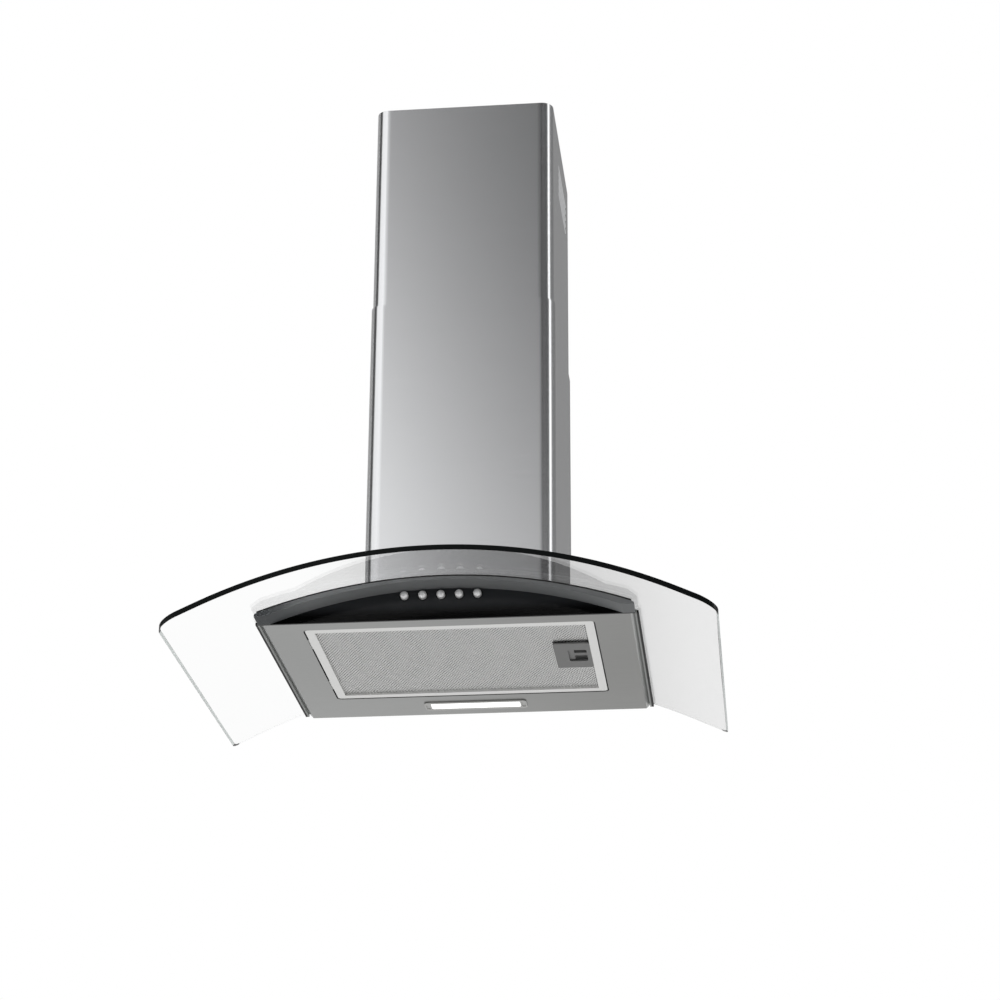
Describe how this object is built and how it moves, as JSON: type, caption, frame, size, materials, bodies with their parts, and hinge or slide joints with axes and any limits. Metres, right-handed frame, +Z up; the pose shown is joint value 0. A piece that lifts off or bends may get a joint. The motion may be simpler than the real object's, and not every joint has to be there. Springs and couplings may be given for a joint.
{
  "type": "wall mount range hood",
  "caption": "Wall mount range hood with a bent glass canopy, a steel pan with a swing-down grease filter and lamp, push buttons, a blower and a telescopic flue.",
  "frame": {"origin": "centre of the four wall holes, on the wall plane", "axes": "+X to the right seen from the front, +Y towards the wall, +Z up"},
  "size_m": [0.6, 0.444, 0.759],
  "materials": {
    "flue_steel": "brushed stainless",
    "pan_steel": "satin stainless",
    "canopy_glass": "clear, polished edges",
    "fascia_black": "high gloss",
    "gasket_rubber": "matt",
    "button_metal": "bright",
    "bezel_black": "gloss",
    "filter_aluminium": "plain rolled",
    "catch_grey": "fine grain",
    "lamp_trim": "satin",
    "lamp_lens": "frosted white",
    "housing_zinc": "zinc coated",
    "casing_black": "moulded",
    "wheel_black": "moulded",
    "motor_steel": "bare lacquered",
    "screw_steel": "zinc plated",
    "board_green": "solder resist",
    "box_white": "moulded"
  },
  "bodies": {
    "hood": {"blower_box": "housing_zinc", "bottom_pan": "pan_steel", "button_bezels": "bezel_black", "cable_gland": "casing_black", "clamp_nuts": "screw_steel", "clamp_rails": "housing_zinc", "clamp_screws": "screw_steel", "control_box": "box_white", "flap_pin": "screw_steel", "front_fascia": "fascia_black", "glass_canopy": "canopy_glass", "glass_gaskets": "gasket_rubber", "lamp_frame": "lamp_trim", "lamp_housing": "box_white", "lamp_lens": "lamp_lens", "led_board": "board_green", "lower_flue": "flue_steel", "motor": "motor_steel", "motor_bracket": "motor_steel", "motor_capacitor": "box_white", "outlet_collar": "casing_black", "scroll_side_left": "casing_black", "scroll_side_right": "casing_black", "scroll_wrap": "casing_black", "switch_board": "board_green", "switch_housing": "casing_black", "top_deck": "housing_zinc"},
    "upper_flue": {"upper_flue": "flue_steel", "flue_bracket": "housing_zinc", "bracket_screws": "screw_steel"},
    "impeller": {"impeller": "wheel_black", "motor_shaft": "screw_steel"},
    "filter": {"filter_frame": "filter_aluminium", "filter_mesh": "filter_aluminium", "latch_plate": "catch_grey"},
    "filter_latch": {"filter_latch": "catch_grey"},
    "flap_front": {"flap_front": "casing_black"},
    "flap_rear": {"flap_rear": "casing_black"},
    "button_1": {"button_1": "button_metal"},
    "button_2": {"button_2": "button_metal"},
    "button_3": {"button_3": "button_metal"},
    "button_4": {"button_4": "button_metal"},
    "button_5": {"button_5": "button_metal"}
  },
  "joints": [
    {"name": "upper_flue_slide", "type": "slide", "parent": "hood", "child": "upper_flue", "axis": [0, 0, 1], "range_m": [-0.27, 0.07]},
    {"name": "impeller_spin", "type": "hinge", "parent": "hood", "child": "impeller", "pos_m": [0, -0.085, -0.025], "axis": [1, 0, 0], "continuous": true},
    {"name": "filter_swing", "type": "hinge", "parent": "hood", "child": "filter", "pos_m": [-0.1625, -0.2035, -0.17385], "axis": [0, 1, 0], "range_deg": [0, 75]},
    {"name": "filter_latch_slide", "type": "slide", "parent": "filter", "child": "filter_latch", "axis": [-1, 0, 0], "range_m": [0, 0.007], "stiffness_N_per_m": 300, "springref_m": -0.002},
    {"name": "flap_front_swing", "type": "hinge", "parent": "hood", "child": "flap_front", "pos_m": [0, -0.107, 0.151], "axis": [-1, 0, 0], "range_deg": [0, 80]},
    {"name": "flap_rear_swing", "type": "hinge", "parent": "hood", "child": "flap_rear", "pos_m": [0, -0.107, 0.151], "axis": [1, 0, 0], "range_deg": [0, 80]},
    {"name": "button_1_press", "type": "slide", "parent": "hood", "child": "button_1", "axis": [0, 1, 0], "range_m": [0, 0.003], "stiffness_N_per_m": 700, "springref_m": -0.001},
    {"name": "button_2_press", "type": "slide", "parent": "hood", "child": "button_2", "axis": [0, 1, 0], "range_m": [0, 0.003], "stiffness_N_per_m": 700, "springref_m": -0.001},
    {"name": "button_3_press", "type": "slide", "parent": "hood", "child": "button_3", "axis": [0, 1, 0], "range_m": [0, 0.003], "stiffness_N_per_m": 700, "springref_m": -0.001},
    {"name": "button_4_press", "type": "slide", "parent": "hood", "child": "button_4", "axis": [0, 1, 0], "range_m": [0, 0.003], "stiffness_N_per_m": 700, "springref_m": -0.001},
    {"name": "button_5_press", "type": "slide", "parent": "hood", "child": "button_5", "axis": [0, 1, 0], "range_m": [0, 0.003], "stiffness_N_per_m": 700, "springref_m": -0.001}
  ]
}
